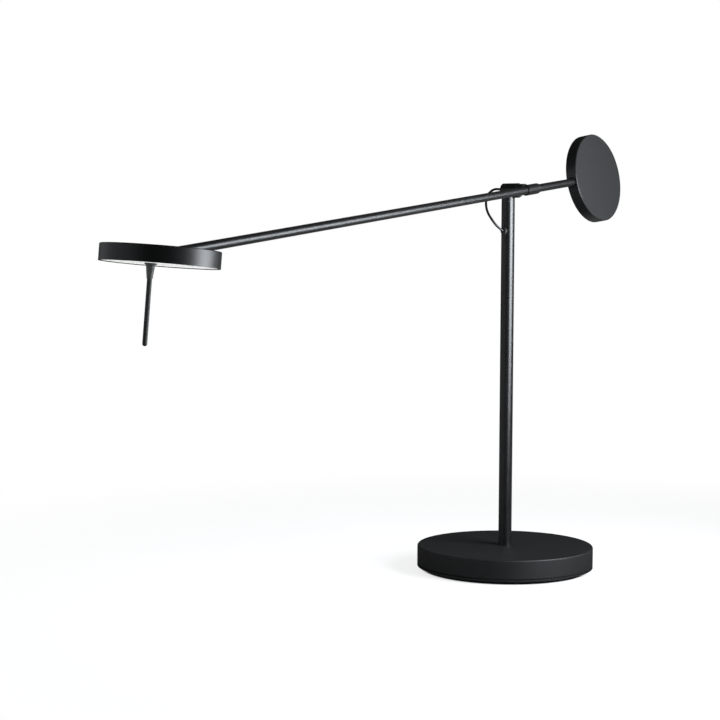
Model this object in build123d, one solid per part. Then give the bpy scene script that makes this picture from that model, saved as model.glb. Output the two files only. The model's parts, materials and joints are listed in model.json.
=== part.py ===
from build123d import *
import math
import os

# Counterweight balance desk lamp, in millimetres. The origin is the centre of the
# base's underside, +Z is up, the lamp head reaches toward -X and the counterweight
# toward +X. The arm runs beside the stem, on its -Y side.

# ---- driving sizes ---------------------------------------------------------------

fit_gap = 0.05          # radial clearance of a running fit
face_gap = 0.05         # axial clearance between faces that turn on each other
over = 1.0              # how far a cut runs past the face that it opens

# heavy round base
base_d = 200.0
base_h = 27.7           # top of the cover above the desk
base_edge = 1.6         # rounding of the cover's top edge
cover_wall = 3.0
cover_top = 3.0
cover_lift = 4.0        # cover's lower edge above the desk, the shadow gap
pad_t = 2.5
pad_inset = 7.0
plate_t = 2.0
plate_gap = 0.4         # plate to the inside of the cover
weight_t = 16.0
weight_gap = 1.0        # cast weight to the inside of the cover
weight_boss_d = 44.0
plate_screw_d = 4.0
plate_screw_count = 4
plate_screw_circle = 160.0
plate_screw_len = 12.0

# driver board and power inlet, on the side away from the head
pocket_len, pocket_width, pocket_depth = 58.0, 36.0, 12.0
pocket_rim = 18.0       # cast metal left between the pocket and the weight's rim
board_len, board_width, board_t = 50.0, 28.0, 1.6
post_h = 3.0            # posts that hold the board off the pocket's roof
board_screw_d = 2.5
channel_w = 8.0
inlet_z = 12.5
inlet_room = 1.0        # space kept round the inlet's nut
inlet_barrel_d = 10.0
inlet_flange_d = 13.0
inlet_flange_t = 1.4
inlet_len = 15.0        # from the cover's outside inward
inlet_bore_d = 5.7
inlet_bore_depth = 10.0
inlet_nut_d, inlet_nut_t = 15.0, 2.0

# stem
stem_d = 15.0
stem_wall = 1.5
stem_top = 418.3
foot_washer_d, foot_washer_t = 17.4, 0.8
foot_plug_len = 14.0
stud_d = 10.0
stud_bore_d = 5.0
stud_proud = 0.3        # stud's end below its nut
nut_flats, stem_nut_t = 17.0, 3.2
lock_washer_d, lock_washer_t = 18.0, 1.8
nut_pocket_d = 28.0
nut_pocket_depth = 10.0
grommet_below = 33.0    # grommet's axis below the stem's top
grommet_azimuth = 172.0
grommet_flange_d, grommet_neck_d = 8.0, 5.6
grommet_proud = 1.1
grommet_lip = 0.8       # how far the grommet's neck shows inside the tube
cable_d = 2.7

# swivel at the stem's top
bush_flange_t = 0.6
bush_inset = 0.2        # bush's flange inside the tube's outline, the seam's shadow
bush_len = 24.0
sleeve_h = 5.2          # turning sleeve, of the stem's diameter, below the barrel
spigot_d = 9.0
spigot_len = 22.0
groove_below = 10.0     # retaining groove below the bush's flange
groove_d, groove_w = 7.4, 3.4
grub_d = 3.0
grub_clear = 0.25       # screw's point short of the groove's floor
grub_sunk = 0.3         # screw's face below the stem's surface
grub_azimuth = -54.0

# tilt pivot, on an axis along Y
pivot_above = 12.6      # tilt axis above the stem's top
barrel_d = 16.4
barrel_near, barrel_far = -14.2, 6.5
barrel_edge = 0.4
axle_d, axle_bore_d = 8.0, 4.4
bush_wall = 1.0
bush_flange_d, bush_flange = 14.0, 0.8
bush_reach = 6.0
barrel_pocket_d, barrel_pocket_depth = 13.2, 7.0
cap_t = 1.8
gland_d, gland_flange_d, gland_proud = 4.4, 6.4, 1.1
spring_d, spring_t = 12.0, 0.8
axle_nut_flats, axle_nut_t = 10.0, 2.2
washer_t = 0.8

# arm, rising from the head to the counterweight
arm_rise = 6.62         # degrees
arm_offset = 23.1       # arm's axis beside the stem's axis
arm_d = 9.0
arm_wall = 1.5
head_reach = 602.0      # tilt axis to the head's hinge
hub_d = 14.8
hub_front = 1.1         # hub's outer face, inside of the arm's axis
hub_under = 4.9         # flat under the hub, below the arm's axis
collar_d, collar_start, collar_end = 12.0, -1.4, 26.0
collar_chamfer, collar_taper = 1.4, 3.0
tube_joint = 12.0       # where the front tube meets the rear rod
lead_d = 2.0
lead_room = 0.2         # space round a lead in its bore

# counterweight, screwed up on the rear rod
weight_reach = 156.3    # tilt axis to the disc's centre
weight_d = 103.5
weight_disc_t = 14.1
weight_edge = 0.8
weight_roll = -8.95     # degrees about the arm
rod_short = 6.3         # rod's end short of the disc's centre
bore_beyond = 1.0       # disc's bore beyond the rod's end
sleeve_wall = 0.6
sleeve_recess = 3.0
mouth_d, mouth_depth = 11.6, 2.2
weight_grub_d, weight_grub_at = 4.0, -30.0

# lamp head, hinged at its centre in a slot of its top
head_fall = 5.0         # degrees that the disc falls toward the stem
head_roll = 1.4         # degrees that the arm's tip leans outwards about the arm
head_d = 104.0
head_above, head_below = 6.1, 8.7   # top and underside from the hinge axis
head_edge = 0.8
shell_wall = 2.0
shell_top = 3.5
slot_w = 10.6
slot_floor = 4.6        # below the hinge axis
slot_floor_t = 1.0
slot_wall = 2.2
slot_back = 5.2         # slot's end beyond the hinge axis
tongue_w = 7.0
eye_d = 8.6
head_washer_d = 8.0
head_pin_d, head_pin_bore = 4.0, 1.8
tip_shoulder = 10.0     # hinge axis to the arm's full diameter
tip_collar = 6.0
tip_plug = 14.0
diffuser_inset = 0.7    # diffuser's face above the shell's lower rim
diffuser_t = 0.9
guide_t = 1.2
reflector_t = 0.3
diffuser_lip = 1.05     # shell's lip round the diffuser
guide_gap = 2.2         # light guide's edge to the wall, for the strip
strip_t = 0.5
strip_h = 4.0
led_count = 36
led_size = (2.8, 1.1, 1.0)

# handle under the head
handle_at = -11.2       # from the disc's centre, away from the arm
handle_boss_d = 8.0
stud_thread_d = 3.0
stud_short = 1.0        # stud's end below the hinge axis
flange_d, flange_t = 10.4, 1.5
cone_top_d, cone_low_d, cone_h = 8.0, 5.0, 12.0
stick_d = 4.3
stick_len = 56.9

# ---- sizes that follow -----------------------------------------------------------

base_r = base_d / 2
cover_in = base_r - cover_wall
ceiling = base_h - cover_top
plate_low = pad_t
weight_low = pad_t + plate_t
weight_r = cover_in - weight_gap
pocket_start = weight_r - pocket_rim - pocket_len
stem_r = stem_d / 2
stem_in = stem_r - stem_wall
stem_low = base_h + foot_washer_t
grommet_z = stem_top - grommet_below
pivot_z = stem_top + pivot_above
sleeve_low = stem_top + bush_flange_t + face_gap
groove_z = stem_top - groove_below
arm_r = arm_d / 2
arm_in = arm_r - arm_wall
bush_bore = axle_d / 2 + fit_gap
bush_r = bush_bore + bush_wall
pocket_face = barrel_far - barrel_pocket_depth
inner_flange_face = pocket_face + bush_flange
outer_flange_face = barrel_near - bush_flange
hub_back = outer_flange_face - face_gap - washer_t
head_r = head_d / 2
shell_in = head_r - shell_wall
cavity_top = head_above - shell_top
diffuser_face = diffuser_inset - head_below
guide_low = diffuser_face + diffuser_t
guide_top = guide_low + guide_t
reflector_top = guide_top + reflector_t
block_low = -slot_floor - slot_floor_t
slot_outer = slot_w / 2 + slot_wall
handle_low = diffuser_face - flange_t - cone_h

# ---- frames of the moving assemblies ---------------------------------------------

arm_place = Pos(0, -arm_offset, pivot_z) * Rot(0, -arm_rise, 0)
weight_place = arm_place * Pos(weight_reach, 0, 0) * Rot(weight_roll, 0, 0)
tip_place = Pos(-head_reach, 0, 0) * Rot(head_roll, 0, 0)
hinge_place = arm_place * tip_place
head_place = hinge_place * Rot(0, arm_rise + head_fall, 0)
pivot_place = Pos(0, 0, pivot_z)

# ---- shapes used again and again -------------------------------------------------

TURN = {"X": Rot(0, 90, 0), "Y": Rot(-90, 0, 0), "Z": Rot(0, 0, 0)}
LOW = (Align.CENTER, Align.CENTER, Align.MIN)


def shaft(axis, diameter, low, high):
    """A round bar along one axis, between two stations on it."""
    return TURN[axis] * Pos(0, 0, low) * Cylinder(diameter / 2, high - low, align=LOW)


def ring(axis, outer, inner, low, high):
    """A washer or bush: a bar with a bore through it."""
    return shaft(axis, outer, low, high) - shaft(axis, inner, low - over, high + over)


def block(x, y, z):
    """A box given by its low and high sides along each axis."""
    size = [high - low for low, high in (x, y, z)]
    middle = [(high + low) / 2 for low, high in (x, y, z)]
    return Pos(*middle) * Box(*size)


def hexagon(axis, flats, bore, low, high):
    """A nut: a hexagonal bar with a bore through it."""
    bar = extrude(RegularPolygon(flats / math.sqrt(3), 6), high - low)
    return TURN[axis] * Pos(0, 0, low) * bar - shaft(axis, bore, low - over, high + over)


def around(count, radius, start=0.0):
    """Places on a circle about Z."""
    return [Rot(0, 0, start + 360 * k / count) * Pos(radius, 0, 0) for k in range(count)]


def end_edges(piece, axis, station):
    """The round edges of a piece that lie at one station of an axis."""
    edges = piece.edges().filter_by(GeomType.CIRCLE)
    return edges.filter_by(lambda e: abs(getattr(e.center(), axis) - station) < 1e-4)


def outer_edge(piece, axis, station):
    """The widest round edge at one station of an axis."""
    return end_edges(piece, axis, station).sort_by(SortBy.RADIUS)[-1]


def turns(points):
    """The largest tangent arc that each corner of a route allows."""
    spots = [Vector(*p) for p in points]
    runs = [b - a for a, b in zip(spots, spots[1:])]
    radii = []
    for one, two in zip(runs, runs[1:]):
        half_turn = math.radians(one.get_angle(two) / 2)
        radii.append(0.45 * min(one.length, two.length) / math.tan(half_turn))
    return radii


def wire(name, points, diameter, tightest=None):
    """A round lead along straight runs joined by tangent arcs."""
    radii = [min(r, tightest or r) for r in turns(points)]
    path = FilletPolyline(*points, radius=radii) if radii else Line(*points)
    section = Plane(origin=path @ 0, z_dir=path % 0) * Circle(diameter / 2)
    tube = sweep(section, path=path)
    share = tube.volume / (math.pi * diameter ** 2 / 4 * path.length)
    print(name, "length %.1f" % path.length, "radii", [round(r, 1) for r in radii],
          "volume over section x length %.4f" % share)
    return tube


def radial(azimuth, distance, height):
    """A point at a distance from the stem's axis."""
    angle = math.radians(azimuth)
    return (distance * math.cos(angle), distance * math.sin(angle), height)


# ---- base ------------------------------------------------------------------------

def make_base_cover():
    cover = shaft("Z", base_d, cover_lift, base_h)
    cover = fillet(outer_edge(cover, "Z", base_h), base_edge)
    cover -= shaft("Z", 2 * cover_in, cover_lift - over, ceiling)
    cover -= shaft("Z", stud_d, ceiling - over, base_h + over)
    return cover - inlet_hole()


def inlet_hole():
    """The hole through the cover's side that the power inlet sits in."""
    return Pos(0, 0, inlet_z) * shaft("X", inlet_barrel_d, cover_in - cover_wall, base_r + over)


def driver_pocket():
    """The space in the cast weight that holds the driver board."""
    sides = (pocket_start, pocket_start + pocket_len)
    half = pocket_width / 2
    return block(sides, (-half, half), (weight_low - over, weight_low + pocket_depth))


def make_base_weight():
    weight = shaft("Z", 2 * weight_r, weight_low, weight_low + weight_t)
    weight += shaft("Z", weight_boss_d, weight_low + weight_t, ceiling)
    weight -= shaft("Z", nut_pocket_d, weight_low - over, nut_seat())
    weight -= shaft("Z", stud_d, weight_low, ceiling + over)
    weight -= driver_pocket()
    half = channel_w / 2
    weight -= block((0, pocket_start + over), (-half, half), (weight_low - over, nut_seat()))
    inlet_half = inlet_nut_d / 2 + inlet_room
    inner = pocket_start + pocket_len - over
    weight -= block((inner, base_r), (-inlet_half, inlet_half), (0, ceiling))
    for place in around(plate_screw_count, plate_screw_circle / 2, 45):
        weight -= place * shaft("Z", plate_screw_d, 0, plate_low + plate_screw_len)
    for x in board_stations():
        post = shaft("Z", 2 * board_screw_d, board_top(), weight_low + pocket_depth)
        weight += Pos(x, 0, 0) * post
        weight -= Pos(x, 0, 0) * shaft("Z", board_screw_d, 0, board_top() + post_h)
    return weight


def board_top():
    """Upper face of the driver board, under the pocket's posts."""
    return weight_low + pocket_depth - post_h


def board_middle():
    return pocket_start + pocket_len / 2


def board_stations():
    """The two screws that hold the driver board, on its long middle line."""
    reach = board_len / 2 - 1.6 * board_screw_d
    return (board_middle() - reach, board_middle() + reach)


def make_driver_board():
    x, top = board_middle(), board_top()
    half = board_width / 2
    low = top - board_t
    board = block((x - board_len / 2, x + board_len / 2), (-half, half), (low, top))
    # two capacitors, a coil and the controller chip hang below the board
    for side in (-1, 1):
        can = shaft("Z", half * 0.55, low - half * 0.3, low)
        board += Pos(x - board_len * 0.2, side * half * 0.55, 0) * can
    board += Pos(x + board_len * 0.2, half * 0.45, 0) * shaft("Z", half * 0.7, low - half * 0.25, low)
    chip = block((x, x + half * 0.5), (-half * 0.8, -half * 0.3), (low - half * 0.1, low))
    board += chip
    for station in board_stations():
        board -= Pos(station, 0, 0) * shaft("Z", board_screw_d, low - over, top + over)
    return board


def make_board_screws():
    low = board_top() - board_t
    screws = []
    for x in board_stations():
        screw = shaft("Z", board_screw_d, low, board_top() + post_h)
        screw += shaft("Z", 1.9 * board_screw_d, low - board_screw_d * 0.6, low)
        screws.append(Pos(x, 0, 0) * screw)
    return Compound(screws)


def countersink(place):
    """The cone that a flat screw head fills in the bottom plate."""
    cone = Cone(plate_screw_d, plate_screw_d / 2, plate_t * 0.9, align=LOW)
    return place * Pos(0, 0, plate_low) * cone


def make_bottom_plate():
    plate = shaft("Z", 2 * (cover_in - plate_gap), plate_low, plate_low + plate_t)
    for place in around(plate_screw_count, plate_screw_circle / 2, 45):
        plate -= place * shaft("Z", plate_screw_d, 0, plate_low + plate_t + over)
        plate -= countersink(place)
    return plate


def make_base_screws():
    screws = []
    for place in around(plate_screw_count, plate_screw_circle / 2, 45):
        screw = place * shaft("Z", plate_screw_d, plate_low, plate_low + plate_screw_len)
        screw += countersink(place)
        socket = extrude(RegularPolygon(plate_screw_d * 0.35, 6), plate_t)
        screws.append(screw - place * Pos(0, 0, plate_low - 0.1) * socket)
    return Compound(screws)


def make_base_pad():
    pad = shaft("Z", base_d - 2 * pad_inset, 0, pad_t)
    return chamfer(outer_edge(pad, "Z", 0), pad_t * 0.2)


def make_power_inlet():
    face = base_r + inlet_flange_t
    inlet = shaft("X", inlet_barrel_d, base_r - inlet_len, base_r)
    inlet += shaft("X", inlet_flange_d, base_r - cover_wall / 3, face)
    inlet = Pos(0, 0, inlet_z) * inlet
    inlet -= ring("Z", base_d, 2 * cover_in, 0, base_h) - inlet_hole()
    return inlet - Pos(0, 0, inlet_z) * shaft("X", inlet_bore_d, face - inlet_bore_depth, face + over)


def make_inlet_nut():
    # the nut's flat face meets the round inside of the cover at its corners
    touch = math.sqrt(cover_in ** 2 - (inlet_nut_d / 2) ** 2)
    flats = inlet_nut_d * math.cos(math.pi / 6)
    return Pos(0, 0, inlet_z) * hexagon("X", flats, inlet_barrel_d, touch - inlet_nut_t, touch)


# ---- stem ------------------------------------------------------------------------

def make_foot_washer():
    washer = ring("Z", foot_washer_d, stud_d, base_h, stem_low)
    return chamfer(outer_edge(washer, "Z", stem_low), foot_washer_t * 0.4)


def make_stem_foot():
    low = nut_seat() - lock_washer_t - stem_nut_t - stud_proud
    foot = shaft("Z", stud_d, low, stem_low)
    foot += shaft("Z", 2 * stem_in, stem_low, stem_low + foot_plug_len)
    return foot - shaft("Z", stud_bore_d, low - over, stem_low + foot_plug_len + over)


def nut_seat():
    """Roof of the pocket that the stem's nut draws up against."""
    return weight_low + nut_pocket_depth


def make_lock_washer():
    return ring("Z", lock_washer_d, stud_d, nut_seat() - lock_washer_t, nut_seat())


def make_stem_nut():
    top = nut_seat() - lock_washer_t
    return hexagon("Z", nut_flats, stud_d, top - stem_nut_t, top)


def grub_hole(length_in, length_out):
    """The radial screw's bar, from one distance to another from the stem's axis."""
    bar = shaft("X", grub_d, length_in, length_out)
    return Pos(0, 0, groove_z) * Rot(0, 0, grub_azimuth) * bar


def grommet_bar(diameter, inner, outer):
    bar = shaft("X", diameter, inner, outer)
    return Pos(0, 0, grommet_z) * Rot(0, 0, grommet_azimuth) * bar


def make_stem_tube():
    tube = ring("Z", stem_d, 2 * stem_in, stem_low, stem_top)
    tube -= grub_hole(stem_in - over, stem_r + over)
    return tube - grommet_bar(grommet_neck_d, stem_in - over, stem_r + over)


def make_stem_grommet():
    neck = grommet_bar(grommet_neck_d, stem_in - grommet_lip, stem_r)
    face = stem_r + grommet_proud
    flange = shaft("X", grommet_flange_d, 0, face)
    flange = fillet(outer_edge(flange, "X", face), grommet_proud * 0.6)
    flange = Pos(0, 0, grommet_z) * Rot(0, 0, grommet_azimuth) * flange
    flange -= shaft("Z", stem_d, grommet_z - stem_d, grommet_z + stem_d)
    return neck + flange


def make_swivel_bush():
    top = stem_top + bush_flange_t
    bore = spigot_d + 2 * fit_gap
    bush = ring("Z", 2 * stem_in, bore, stem_top - bush_len, stem_top)
    bush += ring("Z", stem_d - 2 * bush_inset, bore, stem_top, top)
    return bush - grub_hole(spigot_d / 2 - over, stem_r + over)


def make_swivel_screw():
    inner, outer = groove_d / 2 + grub_clear, stem_r - grub_sunk
    socket = extrude(RegularPolygon(grub_d * 0.3, 6), grub_d)
    socket = Pos(outer - grub_d / 2, 0, 0) * TURN["X"] * socket
    socket = Pos(0, 0, groove_z) * Rot(0, 0, grub_azimuth) * socket
    return grub_hole(inner, outer) - socket


def make_stem_lead():
    # it runs below the stem's stud, turns up through the stud's bore and leans out
    # to the grommet near the top
    start_z = weight_low + 0.7 * cable_d
    start = (board_middle() - board_len / 2 - 2 * over, 0, start_z)
    bend_z = grommet_z - 4 * cable_d
    end = radial(grommet_azimuth, stem_in - 0.8 * cable_d, grommet_z - 0.67 * cable_d)
    route = [start, (0, 0, start_z), (0, 0, bend_z), end]
    return wire("stem_lead", route, cable_d, 1.5 * cable_d)


def make_inlet_lead():
    start = (board_middle() + board_len / 2, 0, board_top() - board_t / 2)
    end = (base_r - inlet_len, 0, start[2])
    return wire("inlet_lead", [start, end], lead_d)


# The jumper cable's free loop, from the stem's grommet to the barrel's far end. It
# bulges away from the stem on the side of +Y, as wide as the photograph shows it.
jumper_route = [
    (-7.9, 1.1, grommet_z - 0.3),
    (-15.2, 4.0, grommet_z + 4.9),
    (-19.2, 9.2, grommet_z + 12.9),
    (-18.9, 15.6, grommet_z + 21.3),
    (-14.6, 21.2, grommet_z + 29.5),
    (-9.8, 25.0, pivot_z - 8.7),
    (-5.4, 25.0, pivot_z - 1.9),
    (-2.2, 20.6, pivot_z + 2.3),
    (-0.5, 14.2, pivot_z + 2.7),
    (0.0, 8.0, pivot_z + 1.1),
]


def make_jumper_cable():
    return wire("jumper_cable", jumper_route, cable_d)


# ---- swivel head on the stem -----------------------------------------------------

def make_pivot_barrel():
    barrel = shaft("Y", barrel_d, barrel_near, barrel_far)
    for station in (barrel_near, barrel_far):
        barrel = chamfer(outer_edge(barrel, "Y", station), barrel_edge)
    barrel = pivot_place * barrel
    sleeve = shaft("Z", stem_d, sleeve_low, sleeve_low + sleeve_h)
    spigot = shaft("Z", spigot_d, sleeve_low - spigot_len, sleeve_low)
    groove = (groove_z - groove_w / 2, groove_z + groove_w / 2)
    spigot -= ring("Z", spigot_d + 2 * over, groove_d, *groove)
    barrel += sleeve + spigot
    barrel -= pivot_place * shaft("Y", 2 * bush_r, barrel_near - over, barrel_far)
    return barrel - pivot_place * shaft("Y", barrel_pocket_d, pocket_face, barrel_far + over)


def make_axle_bushes():
    near = ring("Y", 2 * bush_r, 2 * bush_bore, barrel_near, barrel_near + bush_reach)
    near += ring("Y", bush_flange_d, 2 * bush_bore, outer_flange_face, barrel_near)
    far = ring("Y", 2 * bush_r, 2 * bush_bore, pocket_face - bush_reach, pocket_face)
    far_flange = barrel_pocket_d - 8 * fit_gap
    far += ring("Y", far_flange, 2 * bush_bore, pocket_face, inner_flange_face)
    return pivot_place * Compound([near, far])


def make_barrel_cap():
    cap = ring("Y", barrel_pocket_d, gland_d, barrel_far - cap_t, barrel_far)
    return pivot_place * cap


def make_cable_gland():
    face = barrel_far + gland_proud
    gland = shaft("Y", gland_d, barrel_far - cap_t, barrel_far)
    flange = shaft("Y", gland_flange_d, barrel_far, face)
    flange = fillet(outer_edge(flange, "Y", face), gland_proud * 0.6)
    return pivot_place * (gland + flange)


# ---- arm -------------------------------------------------------------------------

def saddle():
    """The arm's round stock, taken out of what it lies in."""
    tube = shaft("X", arm_d, -hub_d, collar_start)
    return tube + shaft("X", collar_d, collar_start, hub_d)


def in_arm(station):
    """A station along the tilt axis, from the arm's own axis."""
    return station + arm_offset


def make_tilt_axle():
    low, high = hub_front, in_arm(inner_flange_face) + face_gap + spring_t + axle_nut_t
    axle = shaft("Y", axle_d, low, high) - saddle()
    return axle - shaft("Y", axle_bore_d, low - over, high + over)


def make_friction_washer():
    return ring("Y", bush_flange_d, axle_d, in_arm(hub_back), in_arm(hub_back) + washer_t)


def make_spring_washer():
    low = in_arm(inner_flange_face) + face_gap
    washer = ring("Y", spring_d, axle_d, low, low + spring_t)
    cone = Cone(0.49 * spring_d, 0.56 * axle_d, spring_t * 0.6, align=LOW)
    hollow = TURN["Y"] * Pos(0, 0, low) * cone
    return washer - hollow


def make_axle_nut():
    low = in_arm(inner_flange_face) + face_gap + spring_t
    return hexagon("Y", axle_nut_flats, axle_d, low, low + axle_nut_t)


def make_arm_hub():
    hub = shaft("Y", hub_d, hub_front, in_arm(hub_back))
    hub -= saddle()
    hub -= shaft("Y", axle_d, 0, in_arm(hub_back) + over)
    under = block((-hub_d, hub_d), (-hub_d, hub_d), (-hub_d, -hub_under))
    return hub - under


def make_arm_tube():
    end = -head_reach + tip_shoulder + tip_collar
    tube = ring("X", arm_d, 2 * arm_in, end, tube_joint)
    return tube - shaft("Y", axle_bore_d, 0, arm_d)


def make_arm_collar():
    collar = ring("X", collar_d, arm_d, collar_start, collar_end)
    collar = chamfer(outer_edge(collar, "X", collar_start), barrel_edge)
    far = outer_edge(collar, "X", collar_end)
    face = collar.faces().sort_by(Axis.X)[-1]
    collar = chamfer(far, collar_chamfer, collar_taper, reference=face)
    return collar - shaft("Y", axle_bore_d, 0, collar_d)


def make_rear_rod():
    rod = shaft("X", arm_d, tube_joint, weight_reach - rod_short)
    return chamfer(outer_edge(rod, "X", weight_reach - rod_short), 2 * barrel_edge)


def make_arm_tip():
    """The machined end of the arm: a plug in the tube, a shoulder and a flat eye."""
    plug_end = tip_shoulder + tip_collar + tip_plug
    tip = shaft("X", arm_d, tip_shoulder, tip_shoulder + tip_collar)
    tip += shaft("X", 2 * arm_in, tip_shoulder + tip_collar, plug_end)
    half, high = tongue_w / 2, eye_d / 2
    tip += block((0, tip_shoulder), (-half, half), (-high, high)) & shaft("X", arm_d, 0, tip_shoulder)
    tip += shaft("Y", eye_d, -half, half)
    tip -= shaft("Y", head_pin_d + 2 * fit_gap, -half - over, half + over)
    tip -= shaft("X", lead_d + 2 * lead_room, 0, plug_end + over)
    return tip_place * tip


def make_arm_lead():
    """The lead inside the axle and the tube, from the gland to the arm's tip."""
    bend = -arm_d * 4
    reach = -head_reach + head_pin_d / 2 + 2 * lead_room
    start = (0, in_arm(barrel_far - cap_t) - face_gap, 0)
    route = [start, (0, 0, 0), (bend, 0, 0)]
    corner = arm_in - lead_d / 2
    return wire("arm_lead", route, lead_d, corner) + shaft("X", lead_d, reach, bend)


# ---- counterweight ---------------------------------------------------------------

def weight_bore():
    return arm_d + 2 * (fit_gap + sleeve_wall)


def make_counterweight():
    half = weight_disc_t / 2
    disc = shaft("Y", weight_d, -half, half)
    for station in (-half, half):
        disc = chamfer(outer_edge(disc, "Y", station), weight_edge)
    rim = -weight_d / 2
    disc -= shaft("X", weight_bore(), rim - over, bore_beyond - rod_short)
    disc -= shaft("X", mouth_d, rim - over, rim + mouth_depth)
    return disc - weight_grub_bar(weight_bore() / 2, half + over)


def weight_grub_bar(low, high):
    return Pos(weight_grub_at, 0, 0) * shaft("Y", weight_grub_d, low, high)


def make_weight_sleeve():
    low = -weight_d / 2 + sleeve_recess
    return ring("X", weight_bore(), arm_d + 2 * fit_gap, low, bore_beyond - rod_short)


def make_weight_screw():
    outer = weight_disc_t / 2 - grub_sunk
    sleeve_skin = shaft("X", weight_bore(), -weight_d / 2, 0)
    socket = extrude(RegularPolygon(weight_grub_d * 0.3, 6), weight_grub_d)
    socket = Pos(weight_grub_at, outer - weight_grub_d / 4, 0) * TURN["Y"] * socket
    return weight_grub_bar(weight_bore() / 2, outer) - sleeve_skin - socket


# ---- lamp head, about its hinge --------------------------------------------------

def slot_space():
    """The slot in the head's top that the arm lies in."""
    half = slot_w / 2
    return block((-slot_back, head_r + over), (-half, half), (-slot_floor, head_above + over))


def make_head_shell():
    shell = shaft("Z", head_d, -head_below, head_above)
    shell = fillet(outer_edge(shell, "Z", head_above), head_edge)
    cavity = shaft("Z", 2 * shell_in, -head_below - over, cavity_top)
    # the slot's own walls and floor, and the boss that the handle screws into
    kept = (block_low, cavity_top + over)
    walls = block((-slot_back - slot_wall, head_r), (-slot_outer, slot_outer), kept)
    boss = at_handle(shaft("Z", handle_boss_d, *kept))
    shell -= cavity - walls - boss
    shell -= shaft("Z", 2 * (head_r - diffuser_lip), -head_below - over, guide_low)
    shell -= slot_space()
    shell -= shaft("Y", head_pin_d, -slot_outer - over, slot_outer + over)
    return shell - at_handle(shaft("Z", stud_thread_d, block_low - over, 0))


def make_head_pin():
    pin = shaft("Y", head_pin_d, -slot_outer, slot_outer)
    pin -= shaft("Y", head_pin_bore, -head_pin_bore / 2, slot_outer + over)
    entry = Rot(0, -arm_rise - head_fall, 0) * shaft("X", head_pin_bore, 0, head_pin_d)
    return pin - entry


def make_head_washers():
    washers = []
    for side in (-1, 1):
        inner, outer = side * (tongue_w / 2 + face_gap), side * slot_w / 2
        washers.append(ring("Y", head_washer_d, head_pin_d, min(inner, outer), max(inner, outer)))
    return Compound(washers)


def make_head_lead():
    # it runs straight from the pin's open end to the strip at the rim
    return wire("head_lead", [(0, slot_outer, 0), (0, shell_in, 0)], head_pin_bore - lead_room)


def make_led_ring():
    back = shell_in - face_gap
    face = back - strip_t
    strip = ring("Z", 2 * back, 2 * face, guide_low, guide_low + strip_h)
    width, depth, height = led_size
    middle = guide_low + guide_t / 2
    chip = block((face - depth, face + strip_t / 2), (-width / 2, width / 2),
                 (middle - height / 2, middle + height / 2))
    for k in range(led_count):
        strip += Rot(0, 0, 360 * (k + 0.5) / led_count) * chip
    # the strip is cut away where the slot's walls run into the rim
    half = slot_outer + 4 * fit_gap
    return strip - block((0, head_r), (-half, half), (reflector_top, head_above))


def disc_with_hole(diameter, low, high):
    hole = at_handle(shaft("Z", stud_thread_d + 2 * lead_room, low - over, high + over))
    return shaft("Z", diameter, low, high) - hole


def make_light_guide():
    return disc_with_hole(2 * (shell_in - guide_gap), guide_low, guide_top)


def make_reflector_sheet():
    return disc_with_hole(2 * (shell_in - guide_gap), guide_top, reflector_top)


def make_diffuser():
    return disc_with_hole(2 * (head_r - diffuser_lip - 2 * fit_gap), diffuser_face, guide_low)


def at_handle(piece):
    return Pos(handle_at, 0, 0) * piece


def make_handle_flange():
    flange = ring("Z", flange_d, stud_thread_d, diffuser_face - flange_t, diffuser_face)
    return at_handle(chamfer(outer_edge(flange, "Z", diffuser_face - flange_t), flange_t * 0.3))


def make_handle_collar():
    cone = Cone(cone_low_d / 2, cone_top_d / 2, cone_h, align=LOW)
    collar = Pos(0, 0, handle_low) * cone
    return at_handle(collar - shaft("Z", stud_thread_d, handle_low - over, diffuser_face))


def make_handle_stick():
    tip = handle_low - stick_len
    stick = shaft("Z", stick_d, tip, handle_low)
    stick = fillet(outer_edge(stick, "Z", tip), stick_d * 0.49)
    return at_handle(stick + shaft("Z", stud_thread_d, handle_low, -stud_short))


# ---- every piece, in its place ---------------------------------------------------

FIXED = [make_base_cover, make_base_weight, make_bottom_plate, make_base_pad, make_base_screws,
         make_driver_board, make_board_screws, make_power_inlet, make_inlet_nut, make_inlet_lead,
         make_foot_washer, make_stem_foot, make_lock_washer, make_stem_nut, make_stem_tube,
         make_swivel_bush, make_swivel_screw, make_stem_grommet, make_stem_lead,
         make_jumper_cable, make_pivot_barrel, make_axle_bushes, make_barrel_cap,
         make_cable_gland]
ON_ARM = [make_tilt_axle, make_friction_washer, make_spring_washer, make_axle_nut, make_arm_hub,
          make_arm_tube, make_arm_collar, make_rear_rod, make_arm_tip, make_arm_lead]
ON_WEIGHT = [make_counterweight, make_weight_sleeve, make_weight_screw]
ON_HEAD = [make_head_shell, make_head_pin, make_head_washers, make_head_lead, make_led_ring,
           make_light_guide, make_reflector_sheet, make_diffuser, make_handle_flange,
           make_handle_collar, make_handle_stick]

os.makedirs("parts", exist_ok=True)
for makers, place in ((FIXED, Pos(0, 0, 0)), (ON_ARM, arm_place),
                      (ON_WEIGHT, weight_place), (ON_HEAD, head_place)):
    for maker in makers:
        node = maker.__name__.removeprefix("make_")
        export_step(place * maker(), "parts/%s.step" % node)
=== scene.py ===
import json
import math
import bpy
import numpy as np
from mathutils import Matrix, Vector


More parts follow.
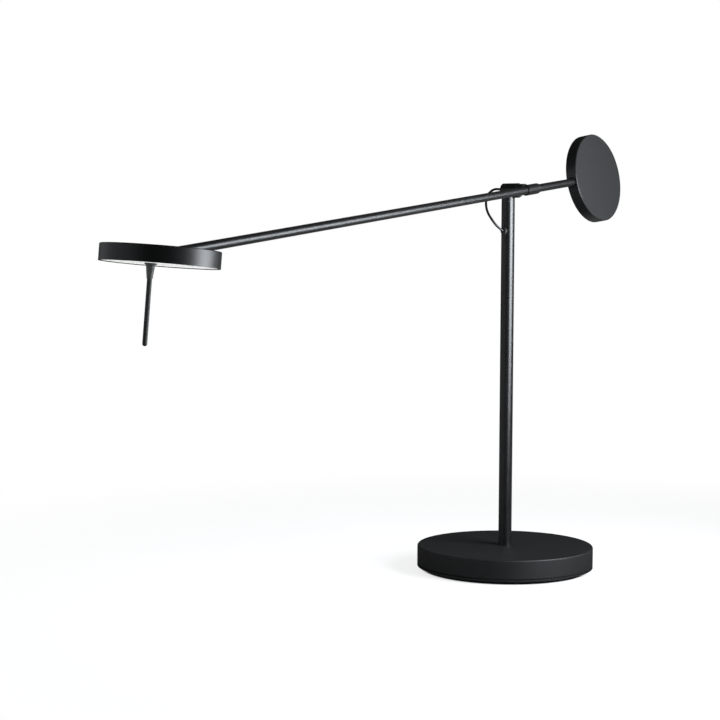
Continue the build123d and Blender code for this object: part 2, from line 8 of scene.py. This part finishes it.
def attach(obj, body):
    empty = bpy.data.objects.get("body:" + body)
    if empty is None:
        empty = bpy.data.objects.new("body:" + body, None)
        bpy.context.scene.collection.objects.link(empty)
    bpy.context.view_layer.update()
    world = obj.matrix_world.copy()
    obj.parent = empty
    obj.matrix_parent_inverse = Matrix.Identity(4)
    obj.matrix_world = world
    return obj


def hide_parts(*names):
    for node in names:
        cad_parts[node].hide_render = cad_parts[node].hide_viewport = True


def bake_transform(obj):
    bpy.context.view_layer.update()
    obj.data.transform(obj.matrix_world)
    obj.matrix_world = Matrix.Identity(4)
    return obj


# Counterweight balance desk lamp. The camera, the cable, the pin and the finishes are
# written in millimetres and degrees, and the room in metres.

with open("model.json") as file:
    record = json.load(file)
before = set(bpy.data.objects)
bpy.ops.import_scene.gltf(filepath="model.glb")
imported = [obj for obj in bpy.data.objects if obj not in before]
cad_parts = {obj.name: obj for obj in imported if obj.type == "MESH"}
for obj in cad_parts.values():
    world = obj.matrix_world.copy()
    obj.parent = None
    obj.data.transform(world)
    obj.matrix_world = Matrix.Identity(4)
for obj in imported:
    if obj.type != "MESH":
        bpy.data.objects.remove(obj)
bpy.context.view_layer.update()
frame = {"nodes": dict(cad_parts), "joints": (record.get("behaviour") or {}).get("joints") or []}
nodes = frame["nodes"]
joints = {joint["name"]: joint for joint in frame["joints"]}
mm = 0.001

# heading is counted from the Y axis toward the X axis, and fall below the level
photoView = {"place": (-1694.71, -1042.57, 374.56), "heading": 53.6, "fall": 3.92,
             "roll": 0.24, "lens": 87.5, "film": 36, "clip": (50, 30000)}


def aimCamera(view):
    # heading and fall give the line of sight, then the frame rolls about it
    heading, fall, roll = (math.radians(view[k]) for k in ("heading", "fall", "roll"))
    sight = Vector((math.sin(heading) * math.cos(fall),
                    math.cos(heading) * math.cos(fall), -math.sin(fall)))
    level = Vector((math.cos(heading), -math.sin(heading), 0))
    rise = level.cross(sight)
    right = level * math.cos(roll) + rise * math.sin(roll)
    top = rise * math.cos(roll) - level * math.sin(roll)
    data = bpy.data.cameras.new("photoCamera")
    data.lens, data.sensor_width = view["lens"], view["film"]
    data.clip_start, data.clip_end = (reach * mm for reach in view["clip"])
    camera = bpy.data.objects.new("photoCamera", data)
    bpy.context.scene.collection.objects.link(camera)
    turn = Matrix((right, top, -sight)).transposed().to_4x4()
    camera.matrix_world = Matrix.Translation(Vector(view["place"]) * mm) @ turn
    bpy.context.scene.camera = camera


aimCamera(photoView)
print("camera set")


def addMesh(name, points, faces, smooth=True):
    # whole arrays of points and of faces, which already point outwards, become one
    # object at the origin
    mesh = bpy.data.meshes.new(name)
    mesh.from_pydata(np.asarray(points, float).reshape(-1, 3), [], faces)
    piece = bpy.data.objects.new(name, mesh)
    bpy.context.scene.collection.objects.link(piece)
    mesh.polygons.foreach_set("use_smooth", np.full(len(mesh.polygons), smooth))
    mesh.update()
    return piece


def gridFaces(rows, columns):
    # each face joins a point of the grid to its next row and its next column, and the
    # last column joins the first
    start = np.arange(rows - 1)[:, None] * columns
    column = np.arange(columns)[None, :]
    nextColumn = (column + 1) % columns
    corners = (start + column, start + nextColumn,
               start + columns + nextColumn, start + columns + column)
    return np.stack([corner.ravel() for corner in corners], axis=1).tolist()


# the jumper cable, from the stem's grommet to the barrel's far end
cable = {"points": ((-7.9, 1.1, 385.0), (-15.2, 4.1, 389.6), (-19.2, 9.0, 397.4),
                    (-18.9, 15.4, 406.0), (-14.2, 20.7, 414.0), (-8.8, 23.8, 421.0),
                    (-4.6, 23.8, 427.4), (-2.0, 19.8, 432.0), (-0.5, 14.0, 433.2),
                    (0.0, 8.0, 432.0)),
         "diameter": 2.7, "length": 75.2, "steps": 10, "sides": 24}


def smoothLine(points, steps):
    # the NURBS line of the route's points, read back as a row of points in metres
    data = bpy.data.curves.new("cableLine", "CURVE")
    data.dimensions, data.resolution_u = "3D", steps
    spline = data.splines.new("NURBS")
    spline.points.add(len(points) - 1)
    weighted = np.hstack([np.array(points) * mm, np.ones((len(points), 1))])
    spline.points.foreach_set("co", weighted.ravel())
    spline.order_u, spline.use_endpoint_u = 3, True
    holder = bpy.data.objects.new("cableLine", data)
    mesh = bpy.data.meshes.new_from_object(holder)
    line = np.zeros(len(mesh.vertices) * 3)
    mesh.vertices.foreach_get("co", line)
    bpy.data.objects.remove(holder)
    return line.reshape(-1, 3)


def tubeAlong(name, line, radius, sides):
    # a circle carried along a line: each ring is the line's point plus radius times
    # cos and sin of the angle round two directions square to the line; the radius is
    # one number or one for each point
    radius = np.broadcast_to(radius, len(line))[:, None, None]
    ahead = np.gradient(line, axis=0)
    ahead /= np.linalg.norm(ahead, axis=1)[:, None]
    flat = np.linalg.svd(line - line.mean(0))[2][2]
    first = flat - (ahead @ flat)[:, None] * ahead
    first /= np.linalg.norm(first, axis=1)[:, None]
    second = np.cross(ahead, first)
    angle = np.linspace(0, 2 * math.pi, sides, endpoint=False)[None, :, None]
    spokes = np.cos(angle) * first[:, None] + np.sin(angle) * second[:, None]
    rings = line[:, None] + radius * spokes
    points = np.vstack([rings.reshape(-1, 3), line[:1], line[-1:]])
    faces = gridFaces(len(line), sides)
    # the line's two ends are poles that close the tube
    side = np.arange(sides)
    nextSide = (side + 1) % sides
    lastRing = (len(line) - 1) * sides
    pole = np.full(sides, len(points) - 2)
    faces += np.stack([pole, nextSide, side], axis=1).tolist()
    faces += np.stack([pole + 1, lastRing + side, lastRing + nextSide], axis=1).tolist()
    return addMesh(name, points, faces)


cableLine = smoothLine(cable["points"], cable["steps"])
cableSkin = tubeAlong("jumperCable", cableLine, cable["diameter"] / 2 * mm, cable["sides"])
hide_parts("jumper_cable")
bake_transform(cableSkin)
print("jumper cable made")

# the centre pin in the power inlet's bore
pin = {"from": 91.2, "to": 100.2, "height": 12.5, "radius": 1.0, "rounding": 0.6,
       "steps": 7, "sides": 24}


def inletPin(look):
    # a straight pin along the X axis whose edge at the tip is a quarter circle: the
    # radius falls with the circle's cosine while the reach grows with its sine
    turn = np.linspace(0, math.pi / 2, look["steps"])
    reach = look["to"] - look["rounding"] * (1 - np.sin(turn))
    radius = look["radius"] - look["rounding"] * (1 - np.cos(turn))
    along = np.concatenate([[look["from"]], reach])
    radii = np.concatenate([radius[:1], radius])
    line = np.stack([along, 0 * along, 0 * along + look["height"]], axis=1)
    return tubeAlong("inletPin", line * mm, radii * mm, look["sides"])


pinSkin = inletPin(pin)
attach(pinSkin, "base")
print("inlet pin made")


def plug(tree, socket, value):
    # a wrapped socket is linked, and anything else is set as a number or colour
    if isinstance(value, Socket):
        tree.links.new(value.output, socket)
    else:
        socket.default_value = value


class Socket:
    # one output of a shader node, so that a mask can be written as a sum
    def __init__(self, tree, output):
        self.tree, self.output = tree, output

    def calc(self, operation, *terms):
        made = self.tree.nodes.new("ShaderNodeMath")
        made.operation = operation
        for socket, value in zip(made.inputs, terms):
            plug(self.tree, socket, value)
        return Socket(self.tree, made.outputs[0])

    def alone(self, operation):
        return self.calc(operation, self)

    def __add__(self, other):
        return self.calc("ADD", self, other)

    def __radd__(self, other):
        return self.calc("ADD", other, self)

    def __sub__(self, other):
        return self.calc("SUBTRACT", self, other)

    def __rsub__(self, other):
        return self.calc("SUBTRACT", other, self)

    def __mul__(self, other):
        return self.calc("MULTIPLY", self, other)

    def __rmul__(self, other):
        return self.calc("MULTIPLY", other, self)

    def __truediv__(self, other):
        return self.calc("DIVIDE", self, other)

    def __gt__(self, other):
        return self.calc("GREATER_THAN", self, other)

    def __lt__(self, other):
        return self.calc("LESS_THAN", self, other)


class Shading:
    # a node tree, and the one method that makes every node but the Math nodes
    def __init__(self, tree):
        self.tree = tree

    def node(self, kind, settings, values, output=0):
        # settings are set first, then the values or links of the sockets
        made = self.tree.nodes.new("ShaderNode" + kind)
        for name, value in settings.items():
            setattr(made, name, value)
        for socket, value in values.items():
            plug(self.tree, made.inputs[socket], value)
        return Socket(self.tree, made.outputs[output])

    def axis(self, vector, letter):
        # one coordinate of a vector
        return self.node("SeparateXYZ", {}, {"Vector": vector}, letter)

    def fade(self, value, ends, low=0.0, high=1.0):
        # a smooth step from low to high while the value goes from one end to the other;
        # the node's first five inputs take them in this order
        return self.node("MapRange", {"interpolation_type": "SMOOTHSTEP"},
                         dict(enumerate((value, *ends, low, high))))

    def shownRays(self):
        # 1 for what the camera sees, first straight, then also in a mirror or through glass
        seen, glossy, through = (self.node("LightPath", {}, {}, f"Is {kind} Ray")
                                 for kind in ("Camera", "Glossy", "Transmission"))
        return seen, seen.calc("MAXIMUM", seen.calc("MAXIMUM", seen, glossy), through)


class Finish(Shading):
    # a material and its shader's fixed values
    def __init__(self, name, fixed):
        self.material = bpy.data.materials.new(name)
        self.material.use_nodes = True
        super().__init__(self.material.node_tree)
        self.shader = self.tree.nodes["Principled BSDF"]
        for socket, value in fixed.items():
            self.shader.inputs[socket].default_value = value

    def coords(self, place=(0, 0, 0), turn=(0, 0, 0)):
        # object coordinates about a piece's own centre and axes; the place is in metres
        spot = self.node("TexCoord", {}, {}, "Object")
        return self.node("Mapping", {"vector_type": "TEXTURE"},
                         {"Vector": spot, "Location": place,
                          "Rotation": [math.radians(angle) for angle in turn]})

    def noise(self, spot, size, detail=2.0, rough=0.5):
        # size is the pattern's grain in millimetres
        return self.node("TexNoise", {}, {"Vector": spot, "Scale": 1 / (size * mm),
                                          "Detail": detail, "Roughness": rough})

    def blendColour(self, factor, one, two):
        # a Mix node keeps its colours in inputs 6 and 7 and in output 2
        return self.node("Mix", {"data_type": "RGBA"}, {0: factor, 6: one, 7: two}, 2)

    def bump(self, height, depth):
        # depth is the relief in millimetres between height 0 and 1
        return self.node("Bump", {}, {"Height": height, "Distance": depth * mm})

    def feed(self, **links):
        # BaseColor feeds the socket Base Color, and so on
        for name, value in links.items():
            socket = "".join(" " + c if c.isupper() else c for c in name).strip()
            plug(self.tree, self.shader.inputs[socket], value)
        return self.material


def grey(level, warm=0.0):
    # a grey, a little warm above 0 and a little cool below
    return (level * (1 + warm), level, level * (1 - warm), 1)


def varied(middle, *swings):
    # middle plus, for each pattern, its distance from a half times its full swing
    for pattern, swing in swings:
        middle = (pattern - 0.5) * swing + middle
    return middle


# In the looks below grain, rings and cloud hold a noise's size, detail and roughness,
# drift and speck are the size of a noise alone, a share is a pattern's part in the tone,
# and each gloss is the full swing that a pattern gives the roughness.
# the coat's last two values give the heights and the tone of a painted shadow line
coat = {"dark": 0.004, "light": 0.0065, "cool": 0.02, "shine": 0.3, "roughness": 0.55,
        "grain": (0.55, 3.0, 0.6), "grainGloss": 0.06, "drift": 34.0, "driftGloss": 0.1,
        "driftShare": 0.7, "depth": 0.012, "groove": (5.8, 7.3), "grooveTone": 0.0004}


def powderCoat(name, look):
    # a fine pebbled coat: small round grains, with slow drifts of tone and gloss, and a
    # painted shadow line, dark and matt, between two heights near the foot of the cover's side
    finish = Finish(name, {"Specular IOR Level": look["shine"]})
    spot = finish.coords()
    grain = finish.noise(spot, *look["grain"])
    drift = finish.noise(spot, look["drift"])
    height = finish.axis(spot, "Z")
    low, high = look["groove"]
    groove = (height > low * mm) * (height < high * mm)
    pattern = drift * look["driftShare"] + grain * (1 - look["driftShare"])
    tone = finish.blendColour(pattern, grey(look["dark"]), grey(look["light"], -look["cool"]))
    gloss = varied(look["roughness"], (drift, look["driftGloss"]), (grain, look["grainGloss"]))
    # painted shadow: between the two heights the coat turns near black and fully rough
    return finish.feed(BaseColor=finish.blendColour(groove, tone, grey(look["grooveTone"])),
                       Roughness=gloss * (1 - groove) + groove,
                       Normal=finish.bump(grain, look["depth"]))


# pitch is the width of a scallop, and slope its steepest rise, at its edge
polished = {"dark": 0.003, "light": 0.006, "cool": 0.02, "pitch": 0.29, "drift": 26.0,
            "driftGloss": 0.08}
armAxis = joints["counterweight_turn"]["axis"]
armRise = math.degrees(math.atan2(armAxis[2], armAxis[0]))
tubeLooks = {
    "stemSatin": {"turn": (0, -90, 0), "shine": 0.32, "roughness": 0.24, "slope": 0.27},
    "armSatin": {"turn": (0, -armRise, 0), "shine": 0.32, "roughness": 0.33, "slope": 0.43},
    "barrelSatin": {"turn": (0, 0, 90), "shine": 0.3, "roughness": 0.3, "slope": 0.2},
}


def turnedTube(name, look):
    # satin black tube along its own X axis: fine scallops left by turning, each the
    # square of the distance from its own middle, draw a highlight out along the tube
    finish = Finish(name, {"Specular IOR Level": look["shine"]})
    along = finish.axis(finish.coords(turn=look["turn"]), "X")
    middle = (along / (look["pitch"] * mm)).alone("FRACT") - 0.5
    drift = finish.noise(finish.coords(), look["drift"])
    tone = finish.blendColour(drift, grey(look["dark"]), grey(look["light"], -look["cool"]))
    return finish.feed(BaseColor=tone,
                       Roughness=varied(look["roughness"], (drift, look["driftGloss"])),
                       Normal=finish.bump(middle * middle, look["slope"] * look["pitch"]))


# matter is how much rougher the faces are than the rim, and rim the width of its edge
turned = {"dark": 0.003, "light": 0.006, "cool": 0.03, "rings": (1.1, 4.0, 0.75),
          "ringGloss": 0.2, "ringShare": 0.7, "drift": 30.0, "driftGloss": 0.06,
          "depth": 0.008, "matter": 0.22, "rim": 0.5}
discLooks = {
    "headTurned": {"place": joints["head_tilt"]["pos_m"], "turn": (1.4, 5.0, 0),
                   "radius": 52.0, "shine": 0.27, "roughness": 0.42},
    "weightTurned": {"place": joints["counterweight_turn"]["pos_m"], "turn": (-98.95, 0, 0),
                     "radius": 51.75, "shine": 0.3, "roughness": 0.34},
}


def turnedDisc(name, look):
    # lines left by the lathe: rings on the faces, where they follow the distance from
    # the axis, and hoops round the rim, where they follow the height along it
    finish = Finish(name, {"Specular IOR Level": look["shine"]})
    spot = finish.coords(look["place"], look["turn"])
    x, y, z = (finish.axis(spot, letter) for letter in "XYZ")
    fromAxis = (x * x + y * y).alone("SQRT")
    onRim = fromAxis > (look["radius"] - look["rim"]) * mm
    station = fromAxis * (1 - onRim) + z * onRim
    along = finish.node("CombineXYZ", {}, {"X": station})
    rings = finish.noise(along, *look["rings"])
    drift = finish.noise(spot, look["drift"])
    pattern = rings * look["ringShare"] + drift * (1 - look["ringShare"])
    tone = finish.blendColour(pattern, grey(look["dark"]), grey(look["light"], -look["cool"]))
    gloss = varied(look["roughness"], (rings, look["ringGloss"]), (drift, look["driftGloss"]))
    return finish.feed(BaseColor=tone, Roughness=(1 - onRim) * look["matter"] + gloss,
                       Normal=finish.bump(rings, look["depth"]))


# what the plain surfaces share unless their own look says otherwise; contrast is how
# much darker than its tone a surface gets
plainLook = {"metallic": 0.0, "shine": 0.5, "contrast": 0.3, "gloss": 0.14,
             "detail": 4.0, "rough": 0.6}
plainLooks = {
    "handleSatin": {"tone": grey(0.014), "roughness": 0.62, "speck": 2.4, "depth": 0.001,
                    "shine": 0.35},
    "collarSatin": {"tone": grey(0.045), "roughness": 0.46, "speck": 2.0, "depth": 0.003,
                    "contrast": 0.2},
    "castIron": {"tone": grey(0.075, 0.04), "roughness": 0.78, "speck": 0.9, "depth": 0.08,
                 "contrast": 0.5},
    "zincSteel": {"tone": (0.55, 0.56, 0.58, 1), "roughness": 0.34, "speck": 0.8,
                  "depth": 0.004, "metallic": 1.0, "contrast": 0.15},
    "blackSteel": {"tone": grey(0.007), "roughness": 0.55, "speck": 0.5, "depth": 0.006,
                   "shine": 0.2},
    "acetal": {"tone": grey(0.008), "roughness": 0.45, "speck": 4.0, "depth": 0.003,
               "contrast": 0.2},
    "blackPlastic": {"tone": grey(0.014), "roughness": 0.5, "speck": 0.4, "depth": 0.006},
    "boardWhite": {"tone": (0.52, 0.53, 0.51, 1), "roughness": 0.42, "speck": 2.2,
                   "depth": 0.01, "contrast": 0.12},
    "clearGuide": {"tone": (0.86, 0.88, 0.88, 1), "roughness": 0.16, "speck": 3.0,
                   "depth": 0.002, "contrast": 0.05},
    "whiteFilm": {"tone": (0.86, 0.86, 0.85, 1), "roughness": 0.5, "speck": 1.5,
                  "depth": 0.002, "contrast": 0.04},
    "padRubber": {"tone": grey(0.006), "roughness": 0.86, "speck": 0.7, "depth": 0.05,
                  "shine": 0.15, "contrast": 0.4},
    "grommetRubber": {"tone": grey(0.012), "roughness": 0.62, "speck": 0.5, "depth": 0.01,
                      "shine": 0.4},
    "cableSkinBlack": {"tone": grey(0.005), "roughness": 0.42, "speck": 0.35,
                       "depth": 0.004, "shine": 0.3},
}


def plain(name, look):
    # a moulded, cast or plated surface: one fine speck shifts tone, gloss and relief
    finish = Finish(name, {"Specular IOR Level": look["shine"], "Metallic": look["metallic"]})
    speck = finish.noise(finish.coords(), look["speck"], look["detail"], look["rough"])
    darker = tuple(part * (1 - look["contrast"]) for part in look["tone"][:3]) + (1,)
    return finish.feed(BaseColor=finish.blendColour(speck, darker, look["tone"]),
                       Roughness=varied(look["roughness"], (speck, look["gloss"])),
                       Normal=finish.bump(speck, look["depth"]))


# glow is the strength of a painted glow in the sheet's own colour
opal = {"dark": (0.82, 0.81, 0.78, 1), "light": (0.9, 0.89, 0.87, 1), "cloud": (6.0, 3.0),
        "shine": 0.45, "glow": 0.35, "roughness": 0.35, "gloss": 0.1}


def opalWithPaintedGlow(name, look):
    # milky acrylic with a painted glow: a faint emission in its own colour makes it brighter
    # than its colour
    finish = Finish(name, {"Specular IOR Level": look["shine"],
                           "Emission Strength": look["glow"]})
    cloud = finish.noise(finish.coords(), *look["cloud"])
    tone = finish.blendColour(cloud, look["dark"], look["light"])
    return finish.feed(BaseColor=tone, EmissionColor=tone,
                       Roughness=varied(look["roughness"], (cloud, look["gloss"])))


# each look takes what its kind shares, and then its own values
finishes = {"baseCoat": powderCoat("baseCoat", coat)}
for name, look in tubeLooks.items():
    finishes[name] = turnedTube(name, {**polished, **look})
for name, look in discLooks.items():
    finishes[name] = turnedDisc(name, {**turned, **look})
for name, look in plainLooks.items():
    finishes[name] = plain(name, {**plainLook, **look})
finishes["opalWithPaintedGlow"] = opalWithPaintedGlow("opalWithPaintedGlow", opal)

# which nodes wear which finish
wearers = {
    "baseCoat": ("base_cover",),
    "stemSatin": ("stem_tube", "foot_washer"),
    "barrelSatin": ("pivot_barrel", "barrel_cap", "arm_hub"),
    "armSatin": ("arm_tube", "arm_collar", "rear_rod", "arm_tip"),
    "headTurned": ("head_shell",),
    "weightTurned": ("counterweight",),
    "handleSatin": ("handle_stick",),
    "collarSatin": ("handle_flange", "handle_collar"),
    "opalWithPaintedGlow": ("diffuser",),
    "clearGuide": ("light_guide",),
    "whiteFilm": ("led_ring", "reflector_sheet"),
    "castIron": ("base_weight",),
    "blackSteel": ("bottom_plate", "swivel_screw", "weight_screw"),
    "zincSteel": ("base_screws", "board_screws", "inlet_nut", "stem_foot", "lock_washer",
                  "stem_nut", "tilt_axle", "spring_washer", "axle_nut", "head_pin"),
    "acetal": ("swivel_bush", "axle_bushes", "friction_washer", "weight_sleeve",
               "head_washers"),
    "blackPlastic": ("power_inlet",),
    "boardWhite": ("driver_board",),
    "padRubber": ("base_pad",),
    "grommetRubber": ("stem_grommet", "cable_gland"),
    "cableSkinBlack": ("jumper_cable", "inlet_lead", "stem_lead", "arm_lead", "head_lead"),
}
finishOf = {node: finishes[finish] for finish, worn in wearers.items() for node in worn}
for name, piece in nodes.items():
    piece.data.materials.clear()
    piece.data.materials.append(finishOf[name])
for piece, finish, slot in ((cableSkin, "cableSkinBlack", "cable_black"),
                            (pinSkin, "zincSteel", "zinc_steel")):
    piece.data.materials.append(finishes[finish])
print("finishes made")

# Below, a pair of numbers is where a fade starts and where it ends: a distance from the
# stem, or for side, height and sweep a part of the direction or of the place.
floorLook = {"size": 24.0, "tone": 0.86, "roughness": 0.9, "glow": 0.8,
             "rim": (0.091, 0.097), "fade": (0.35, 0.9)}
# mirrored rays see a dim studio, a little lighter toward the backdrop
roomLook = {"backdrop": (0.8, 0.6, 0.0), "lit": 0.08, "dim": 0.035, "ambient": 0.35,
            "side": (0.6, 0.95), "height": (0.3, 0.1), "sweep": (-0.15, 0.35),
            "pool": 0.22, "poolStarts": (0.2, 0.4), "poolEnds": (0.8, 1.3)}
lampTint = (0.95, 1.0, 1.06)
# glow is a lamp's brightness, whatever its size
lamps = {
    "frontBox": {"place": (-0.005, -0.64, 0.45), "aim": (-0.305, 0.314, 0.45),
                 "size": (0.535, 0.46), "glow": 19.0, "spread": 140, "mirrored": True},
    "topBox": {"place": (-0.1, -0.3, 1.9), "aim": (-0.1, 0.0, 0.0),
               "size": (1.2, 1.2), "glow": 1.3, "spread": 180, "mirrored": False},
    "sideBoard": {"place": (1.0, -0.85, 0.68), "aim": (0.155, -0.03, 0.45),
                  "size": (0.6, 0.7), "glow": 1.6, "spread": 180, "mirrored": True},
    "leftBoard": {"place": (-1.25, 1.25, 0.5), "aim": (-0.6, 0.0, 0.4),
                  "size": (2.2, 1.2), "glow": 0.68, "spread": 180, "mirrored": True},
    "endBoard": {"place": (-2.05, 0.34, 0.5), "aim": (-0.6, 0.0, 0.4),
                 "size": (0.85, 1.0), "glow": 0.68, "spread": 180, "mirrored": True},
}


def towardBackdrop(shading, direction):
    # how far a point or a ray lies toward the backdrop
    return shading.node("VectorMath", {"operation": "DOT_PRODUCT"},
                        {0: direction, 1: roomLook["backdrop"]}, "Value")


def makeFloor():
    # white to the camera, a dim studio with a pool of light round the lamp to mirrored
    # rays, and plain paper to all other light
    half = floorLook["size"] / 2
    corners = [(-half, -half, 0), (half, -half, 0), (half, half, 0), (-half, half, 0)]
    floor = addMesh("floor", corners, [(0, 1, 2, 3)], False)
    finish = Finish("floorPaper", {"Specular IOR Level": 0.0,
                                   "Roughness": floorLook["roughness"]})
    finish.feed(BaseColor=grey(floorLook["tone"]))
    paper = Socket(finish.tree, finish.shader.outputs[0])
    white = finish.node("Emission", {}, {"Color": grey(1.0), "Strength": 1.0})
    seen, shown = finish.shownRays()
    spot = finish.node("TexCoord", {}, {}, "Object")
    sweep = finish.fade(towardBackdrop(finish, spot), roomLook["sweep"])
    away = finish.node("VectorMath", {"operation": "LENGTH"}, {0: spot}, "Value")
    pool = finish.fade(away, roomLook["poolStarts"]) - finish.fade(away, roomLook["poolEnds"])
    level = sweep * (roomLook["lit"] - roomLook["dim"]) + pool * roomLook["pool"]
    mirrored = finish.node("Emission", {}, {"Color": grey(1.0),
                                            "Strength": level + roomLook["dim"]})
    # the gap under the base stays dark, and past its rim the paper brightens to white
    whiteness = finish.fade(away, floorLook["rim"], 0.0, floorLook["glow"])
    whiteness += finish.fade(away, floorLook["fade"], 0.0, 1 - floorLook["glow"])
    straight = finish.node("MixShader", {}, {0: seen * whiteness, 1: paper, 2: white})
    whole = finish.node("MixShader", {}, {0: shown - seen, 1: straight, 2: mirrored})
    plug(finish.tree, finish.tree.nodes["Material Output"].inputs["Surface"], whole)
    floor.data.materials.append(finish.material)


def makeRoom():
    # white to the camera, and to mirrored rays a backdrop that fades into a dim studio
    world = bpy.data.worlds.new("studio")
    bpy.context.scene.world = world
    world.use_nodes = True
    shading = Shading(world.node_tree)
    seen, shown = shading.shownRays()
    direction = shading.node("TexCoord", {}, {}, "Generated")
    side = shading.fade(towardBackdrop(shading, direction), roomLook["side"])
    height = shading.fade(shading.axis(direction, "Z"), roomLook["height"])
    mirrored = side * height * (roomLook["lit"] - roomLook["dim"]) + roomLook["dim"]
    back = world.node_tree.nodes["Background"]
    back.inputs["Color"].default_value = grey(1.0)
    plug(world.node_tree, back.inputs["Strength"],
         seen + (shown - seen) * mirrored + (1 - shown) * roomLook["ambient"])


def makeLamp(name, lamp):
    # a rectangle of light that faces from its place to its aim
    data = bpy.data.lights.new(name, "AREA")
    data.shape = "RECTANGLE"
    data.size, data.size_y = lamp["size"]
    data.energy = lamp["glow"] * math.pi * data.size * data.size_y
    data.spread, data.color = math.radians(lamp["spread"]), lampTint
    light = bpy.data.objects.new(name, data)
    bpy.context.scene.collection.objects.link(light)
    place = Vector(lamp["place"])
    light.rotation_euler = (Vector(lamp["aim"]) - place).to_track_quat("-Z", "Y").to_euler()
    light.location = place
    light.visible_glossy, light.visible_camera = lamp["mirrored"], False


makeFloor()
makeRoom()
for name, lamp in lamps.items():
    makeLamp(name, lamp)
bpy.context.scene.view_settings.view_transform = "Standard"
print("room made")
